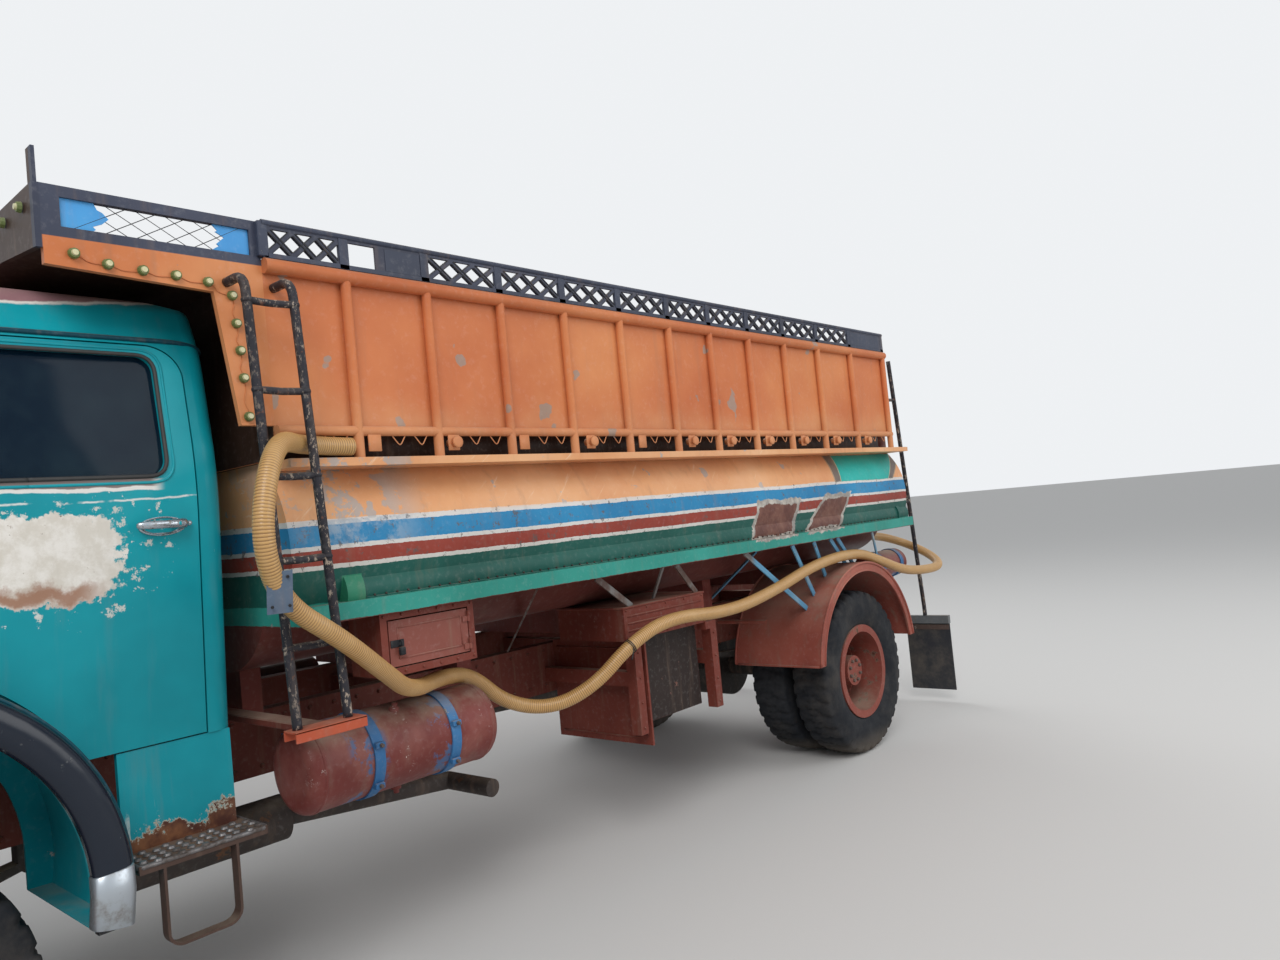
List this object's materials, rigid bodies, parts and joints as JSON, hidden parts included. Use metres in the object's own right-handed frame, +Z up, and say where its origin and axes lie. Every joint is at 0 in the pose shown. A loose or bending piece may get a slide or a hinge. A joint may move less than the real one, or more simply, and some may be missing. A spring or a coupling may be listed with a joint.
{
  "type": "water tanker truck",
  "caption": "Short-bonnet two-axle water tanker truck with an oval tank, side boards, a ladder, a tool locker and a long hose along its side.",
  "frame": {"origin": "on the ground under the middle of the truck's length, between the front and rear bumpers", "axes": "+X to the truck's left, +Y from front to rear, +Z up"},
  "size_m": [2.9426, 7.847, 2.855],
  "materials": {
    "frame_paint": "worn red oxide paint",
    "running_gear": "dusty oiled iron",
    "engine_metal": "dull oiled iron",
    "cab_paint": "faded turquoise paint",
    "bonnet_paint": "faded turquoise paint",
    "door_paint": "chipped turquoise paint",
    "fender_paint": "turquoise paint with a black flare",
    "cab_glass": "dusty glass",
    "door_glass": "dusty glass",
    "seat_fabric": "worn fabric",
    "dash_plastic": "matte",
    "bumper_paint": "scuffed grey paint",
    "grille_paint": "dusty pale paint",
    "lamp_glass": "clear and red lenses",
    "wheel_front": "red-brown paint with rust",
    "wheel_rear": "red-brown paint with rust",
    "tyre_front": "dusty rubber",
    "tyre_rear": "dusty rubber",
    "tank_paint": "orange paint over striped sides",
    "bearer_paint": "dark red paint",
    "lid_paint": "worn paint",
    "board_paint": "sun-faded orange paint",
    "lattice_steel": "flaking dark paint",
    "overhang_paint": "blue over dark paint",
    "ladder_paint": "flaking black paint",
    "reservoir_paint": "dark red paint",
    "strap_paint": "blue paint",
    "toolbox_paint": "worn dark red paint",
    "locker_paint": "rusty dark red paint",
    "rear_fender_paint": "dusty red paint",
    "flap_rubber": "stiff dusty rubber",
    "pipe_steel": "painted pipe",
    "hose_rubber": "ribbed tan rubber",
    "fuel_tank_paint": "dull dark paint",
    "exhaust_steel": "heat-stained steel",
    "mirror_plastic": "matte black",
    "step_steel": "worn paint over steel",
    "stay_paint": "worn grey and red paint"
  },
  "bodies": {
    "chassis": {"cab_glass": "cab_glass", "cab_shell": "cab_paint", "cab_steps": "step_steel", "cross_members": "frame_paint", "dashboard": "dash_plastic", "discharge_pipes": "pipe_steel", "end_walls": "board_paint", "engine_block": "engine_metal", "exhaust_pipe": "exhaust_steel", "frame_rails": "frame_paint", "front_axle_beam": "running_gear", "front_bumper": "bumper_paint", "front_fenders": "fender_paint", "fuel_tank": "fuel_tank_paint", "grille_panel": "grille_paint", "ladders": "ladder_paint", "lamps": "lamp_glass", "lattice_rails": "lattice_steel", "leaf_springs": "running_gear", "mirrors": "mirror_plastic", "mud_flaps": "flap_rubber", "overhang": "overhang_paint", "propshaft": "running_gear", "rear_axle_housing": "running_gear", "rear_bumper": "bumper_paint", "rear_fenders": "rear_fender_paint", "reservoir_straps": "strap_paint", "reservoirs": "reservoir_paint", "seat_bench": "seat_fabric", "side_locker": "locker_paint", "side_walls": "board_paint", "suction_hose": "hose_rubber", "tank_barrel": "tank_paint", "tank_bearers": "bearer_paint", "tank_stays": "stay_paint", "toolbox": "toolbox_paint"},
    "door_left": {"door_left": "door_paint", "door_glass_left": "door_glass"},
    "door_right": {"door_right": "door_paint", "door_glass_right": "door_glass"},
    "bonnet": {"bonnet": "bonnet_paint"},
    "knuckle_left": {"knuckle_left": "running_gear"},
    "knuckle_right": {"knuckle_right": "running_gear"},
    "front_wheel_left": {"front_wheel_left": "wheel_front", "front_tyre_left": "tyre_front"},
    "front_wheel_right": {"front_wheel_right": "wheel_front", "front_tyre_right": "tyre_front"},
    "rear_wheels_left": {"rear_wheels_left": "wheel_rear", "rear_tyres_left": "tyre_rear"},
    "rear_wheels_right": {"rear_wheels_right": "wheel_rear", "rear_tyres_right": "tyre_rear"},
    "toolbox_door": {"toolbox_door": "toolbox_paint"},
    "manhole_lid": {"manhole_lid": "lid_paint"}
  },
  "joints": [
    {"name": "door_left_hinge", "type": "hinge", "parent": "chassis", "child": "door_left", "pos_m": [1.136, -2.599, 1.6], "axis": [0, 0, -1], "range_deg": [0, 70]},
    {"name": "door_right_hinge", "type": "hinge", "parent": "chassis", "child": "door_right", "pos_m": [-1.136, -2.599, 1.6], "axis": [0, 0, 1], "range_deg": [0, 70]},
    {"name": "bonnet_hinge", "type": "hinge", "parent": "chassis", "child": "bonnet", "pos_m": [0, -2.806, 1.893], "axis": [-1, 0, 0], "range_deg": [0, 50]},
    {"name": "steer_left", "type": "hinge", "parent": "chassis", "child": "knuckle_left", "pos_m": [0.8, -2.685, 0.517], "axis": [0, 0, 1], "range_deg": [-35, 35]},
    {"name": "steer_right", "type": "hinge", "parent": "chassis", "child": "knuckle_right", "pos_m": [-0.8, -2.685, 0.517], "axis": [0, 0, 1], "range_deg": [-35, 35]},
    {"name": "front_wheel_left_spin", "type": "hinge", "parent": "knuckle_left", "child": "front_wheel_left", "pos_m": [0.965, -2.685, 0.517], "axis": [1, 0, 0], "continuous": true},
    {"name": "front_wheel_right_spin", "type": "hinge", "parent": "knuckle_right", "child": "front_wheel_right", "pos_m": [-0.965, -2.685, 0.517], "axis": [1, 0, 0], "continuous": true},
    {"name": "rear_wheels_left_spin", "type": "hinge", "parent": "chassis", "child": "rear_wheels_left", "pos_m": [0.91, 2.415, 0.517], "axis": [1, 0, 0], "continuous": true},
    {"name": "rear_wheels_right_spin", "type": "hinge", "parent": "chassis", "child": "rear_wheels_right", "pos_m": [-0.91, 2.415, 0.517], "axis": [1, 0, 0], "continuous": true},
    {"name": "toolbox_door_hinge", "type": "hinge", "parent": "chassis", "child": "toolbox_door", "pos_m": [1.196, -0.731, 1.28], "axis": [0, 0, 1], "range_deg": [0, 110]},
    {"name": "manhole_lid_hinge", "type": "hinge", "parent": "chassis", "child": "manhole_lid", "pos_m": [0, 1.192, 2.206], "axis": [-1, 0, 0], "range_deg": [0, 100]}
  ],
  "couplings": [
    {"joint": "steer_right", "follows": "steer_left", "ratio": 1}
  ]
}
